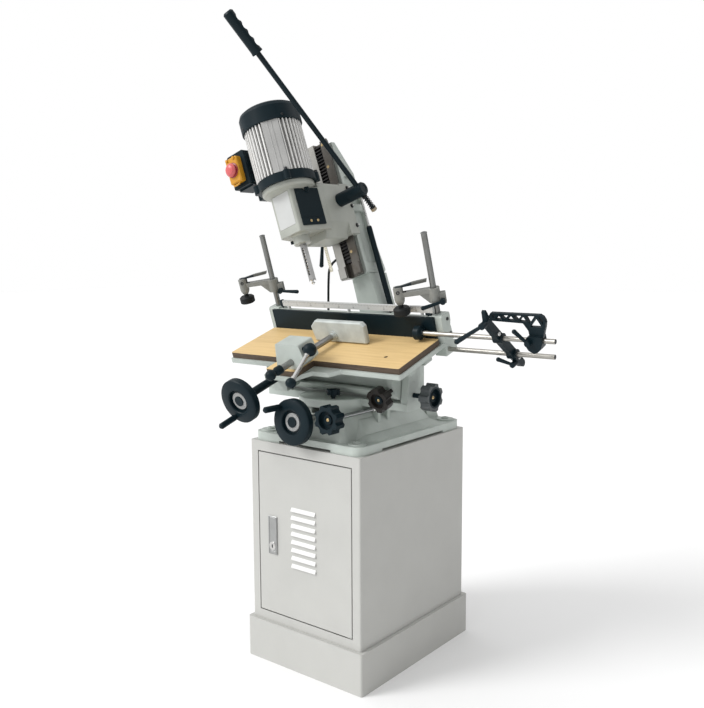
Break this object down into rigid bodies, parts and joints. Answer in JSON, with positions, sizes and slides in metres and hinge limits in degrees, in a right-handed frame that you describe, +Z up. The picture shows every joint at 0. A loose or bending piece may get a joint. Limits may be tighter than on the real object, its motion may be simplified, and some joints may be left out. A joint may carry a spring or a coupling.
{
  "type": "floor mortiser",
  "caption": "Floor mortising machine: cabinet stand, tilting column with a geared head, motor and hollow chisel, cross-sliding tilting table with fence, vise, hold-downs and length stop.",
  "frame": {"origin": "on the floor, in the middle of the four anchor holes of the plinth", "axes": "+Z up, +Y from the door to the back, +X to the right seen from the door"},
  "size_m": [0.9701, 0.8376, 1.6864],
  "materials": {
    "casting_paint": "smooth light green-grey paint on castings",
    "cabinet_paint": "light warm grey powder coat on sheet",
    "black_plastic": "satin black moulding",
    "chrome": "bright plated rod",
    "steel": "machined steel",
    "motor_aluminium": "bright cast aluminium",
    "table_wood": "tan faced board with dark edges",
    "black_paint": "satin black paint on metal",
    "scale_white": "white scale with dark marks",
    "switch_yellow": "yellow moulding",
    "button_red": "red moulding",
    "pad_rubber": "black moulded pad",
    "lead_rubber": "black sheath"
  },
  "bodies": {
    "stand": {"plinth": "cabinet_paint", "cabinet": "cabinet_paint", "base": "casting_paint", "cord": "lead_rubber", "cord_coil": "lead_rubber", "plug": "lead_rubber"},
    "door": {"door": "cabinet_paint"},
    "lock": {"lock_barrel": "chrome"},
    "saddle": {"saddle": "casting_paint"},
    "front_wheel": {"front_handwheel": "black_plastic"},
    "column_lock": {"column_lock": "black_plastic"},
    "saddle_lock": {"saddle_lock_knob": "black_plastic"},
    "tilt_lock": {"tilt_lock_knob": "black_plastic"},
    "cradle": {"cradle": "casting_paint"},
    "table_lock": {"table_lock_knob": "black_plastic"},
    "side_wheel": {"side_handwheel": "black_plastic"},
    "table": {"table_casting": "casting_paint", "table_top": "table_wood", "fence_casting": "casting_paint", "fence_face": "black_paint", "scale_bar": "scale_white", "posts": "steel", "vise_block": "casting_paint", "stop_guide_rod": "chrome"},
    "vise": {"vise_jaw": "casting_paint"},
    "vise_lever": {"vise_lever": "chrome"},
    "stop_link": {"stop_link": "black_paint"},
    "upper_clamp": {"upper_link_lever": "black_plastic"},
    "lower_clamp": {"lower_link_lever": "black_plastic"},
    "stop_rod": {"stop_rod": "chrome"},
    "flip_stop": {"flip_stop": "black_paint"},
    "flip_clamp": {"flip_lever": "black_plastic"},
    "column": {"column": "casting_paint", "feed_rack": "steel", "strut_tube": "black_paint", "strain_relief": "lead_rubber"},
    "head": {"head_casting": "casting_paint", "cover_plate": "black_paint", "motor_flange": "black_paint", "motor_housing": "motor_aluminium", "fan_cover": "black_plastic", "switch_box": "black_plastic", "switch_housing": "switch_yellow", "strut_rod": "steel", "chisel": "steel"},
    "head_lock": {"head_lock_lever": "black_plastic"},
    "feed": {"feed_hub": "black_paint", "feed_lever": "black_paint", "feed_grip": "black_plastic", "tail_spring": "steel"},
    "spindle": {"auger": "steel"},
    "button": {"stop_button": "button_red"},
    "left_arm": {"left_hold_down_arm": "casting_paint"},
    "left_cam": {"left_cam_lever": "black_paint"},
    "left_pad": {"left_pad": "pad_rubber"},
    "left_clamp": {"left_lock_lever": "black_plastic"},
    "right_arm": {"right_hold_down_arm": "casting_paint"},
    "right_cam": {"right_cam_lever": "black_paint"},
    "right_pad": {"right_pad": "pad_rubber"},
    "right_clamp": {"right_lock_lever": "black_plastic"}
  },
  "joints": [
    {"name": "door_swing", "type": "hinge", "parent": "stand", "child": "door", "pos_m": [0.1505, -0.229, 0.354], "axis": [0, 0, 1], "range_deg": [0, 95]},
    {"name": "lock_turn", "type": "hinge", "parent": "door", "child": "lock", "pos_m": [-0.1075, -0.237, 0.322], "axis": [0, 1, 0], "range_deg": [0, 90]},
    {"name": "saddle_slide", "type": "slide", "parent": "stand", "child": "saddle", "axis": [0, 1, 0], "range_m": [-0.045, 0.03]},
    {"name": "front_wheel_turn", "type": "hinge", "parent": "stand", "child": "front_wheel", "pos_m": [0, -0.262, 0.673], "axis": [0, 1, 0], "range_deg": [-1700, 1150]},
    {"name": "column_lock_turn", "type": "hinge", "parent": "stand", "child": "column_lock", "pos_m": [0.105, -0.24, 0.689], "axis": [0, 1, 0], "range_deg": [-180, 180]},
    {"name": "saddle_lock_turn", "type": "hinge", "parent": "saddle", "child": "saddle_lock", "pos_m": [0.04, -0.162, 0.732], "axis": [0, 0, 1], "range_deg": [-180, 180]},
    {"name": "tilt_lock_turn", "type": "hinge", "parent": "saddle", "child": "tilt_lock", "pos_m": [0.272, -0.083, 0.739], "axis": [1, 0, 0], "range_deg": [-180, 180]},
    {"name": "cradle_tilt", "type": "hinge", "parent": "saddle", "child": "cradle", "pos_m": [0, -0.083, 0.785], "axis": [1, 0, 0], "range_deg": [-18, 10]},
    {"name": "table_lock_turn", "type": "hinge", "parent": "cradle", "child": "table_lock", "pos_m": [0.205, -0.1725, 0.7433], "axis": [0, 0.9511, 0.309], "range_deg": [-180, 180]},
    {"name": "table_slide", "type": "slide", "parent": "cradle", "child": "table", "axis": [1, 0, 0], "range_m": [-0.12, 0.09]},
    {"name": "side_wheel_turn", "type": "hinge", "parent": "cradle", "child": "side_wheel", "pos_m": [-0.131, -0.31653, 0.72384], "axis": [0, 0.9511, 0.309], "range_deg": [-345, 260]},
    {"name": "vise_slide", "type": "slide", "parent": "table", "child": "vise", "axis": [0, 0.9511, 0.309], "range_m": [-0.09, 0.04]},
    {"name": "vise_lever_turn", "type": "hinge", "parent": "table", "child": "vise_lever", "pos_m": [0.058, -0.27092, 0.85853], "axis": [1, 0, 0], "range_deg": [-110, 15]},
    {"name": "stop_link_slide", "type": "slide", "parent": "table", "child": "stop_link", "axis": [1, 0, 0], "range_m": [-0.05, 0.08]},
    {"name": "upper_clamp_turn", "type": "hinge", "parent": "stop_link", "child": "upper_clamp", "pos_m": [0.462, -0.13344, 0.93085], "axis": [0, -0.9511, -0.309], "range_deg": [-30, 30]},
    {"name": "lower_clamp_turn", "type": "hinge", "parent": "stop_link", "child": "lower_clamp", "pos_m": [0.462, 0.0086, 0.82639], "axis": [0, -0.9511, -0.309], "range_deg": [-8, 30]},
    {"name": "stop_rod_slide", "type": "slide", "parent": "stop_link", "child": "stop_rod", "axis": [1, 0, 0], "range_m": [-0.034, 0.04]},
    {"name": "flip_stop_swing", "type": "hinge", "parent": "stop_rod", "child": "flip_stop", "pos_m": [0.551, -0.06588, 0.89413], "axis": [1, 0, 0], "range_deg": [-90, 14]},
    {"name": "flip_clamp_turn", "type": "hinge", "parent": "flip_stop", "child": "flip_clamp", "pos_m": [0.545, -0.07873, 0.88996], "axis": [0, -0.9511, -0.309], "range_deg": [-30, 30]},
    {"name": "column_tilt", "type": "hinge", "parent": "stand", "child": "column", "pos_m": [0, 0.15, 0.787], "axis": [0, 1, 0], "range_deg": [-10, 44], "deforming": ["cord"]},
    {"name": "head_slide", "type": "slide", "parent": "column", "child": "head", "axis": [-0.3256, 0, 0.9455], "range_m": [-0.06, 0.06]},
    {"name": "feed_turn", "type": "hinge", "parent": "head", "child": "feed", "pos_m": [-0.14813, 0.036, 1.21721], "axis": [0.9455, 0, 0.3256], "range_deg": [-96, 96]},
    {"name": "head_lock_turn", "type": "hinge", "parent": "head", "child": "head_lock", "pos_m": [-0.17347, 0.06, 1.12493], "axis": [-0.9455, 0, -0.3256], "range_deg": [-8, 40]},
    {"name": "spindle_turn", "type": "hinge", "parent": "head", "child": "spindle", "pos_m": [-0.09767, -0.1, 1.07066], "axis": [-0.3256, 0, 0.9455], "continuous": true},
    {"name": "button_press", "type": "slide", "parent": "head", "child": "button", "axis": [0, 1, 0], "range_m": [0, 0.004], "stiffness_N_per_m": 500, "springref_m": -0.002},
    {"name": "left_arm_slide", "type": "slide", "parent": "table", "child": "left_arm", "axis": [0, -0.309, 0.9511], "range_m": [-0.006, 0.11]},
    {"name": "left_cam_turn", "type": "hinge", "parent": "left_arm", "child": "left_cam", "pos_m": [-0.34609, -0.09697, 1.00863], "axis": [0.4848, -0.8318, -0.2703], "range_deg": [0, 100]},
    {"name": "left_pad_lift", "type": "slide", "parent": "left_arm", "child": "left_pad", "axis": [0, -0.309, 0.9511], "range_m": [0, 0.0022], "stiffness_N_per_m": 20, "springref_m": 0.0177},
    {"name": "left_clamp_turn", "type": "hinge", "parent": "left_arm", "child": "left_clamp", "pos_m": [-0.24878, -0.04456, 0.98675], "axis": [0.4848, -0.8318, -0.2703], "range_deg": [-30, 30]},
    {"name": "right_arm_slide", "type": "slide", "parent": "table", "child": "right_arm", "axis": [0, -0.309, 0.9511], "range_m": [-0.006, 0.11]},
    {"name": "right_cam_turn", "type": "hinge", "parent": "right_arm", "child": "right_cam", "pos_m": [0.19391, -0.09295, 0.99626], "axis": [0.4848, -0.8318, -0.2703], "range_deg": [0, 100]},
    {"name": "right_pad_lift", "type": "slide", "parent": "right_arm", "child": "right_pad", "axis": [0, -0.309, 0.9511], "range_m": [0, 0.0022], "stiffness_N_per_m": 20, "springref_m": 0.0177},
    {"name": "right_clamp_turn", "type": "hinge", "parent": "right_arm", "child": "right_clamp", "pos_m": [0.29122, -0.04054, 0.97439], "axis": [0.4848, -0.8318, -0.2703], "range_deg": [-30, 30]}
  ],
  "couplings": [
    {"joint": "front_wheel_turn", "follows": "saddle_slide", "rad_per_m": 628.32},
    {"joint": "side_wheel_turn", "follows": "table_slide", "rad_per_m": 50},
    {"joint": "feed_turn", "follows": "head_slide", "rad_per_m": -27.778},
    {"joint": "left_pad_lift", "follows": "left_cam_turn", "m_per_rad": 0.001146},
    {"joint": "right_pad_lift", "follows": "right_cam_turn", "m_per_rad": 0.001146}
  ]
}
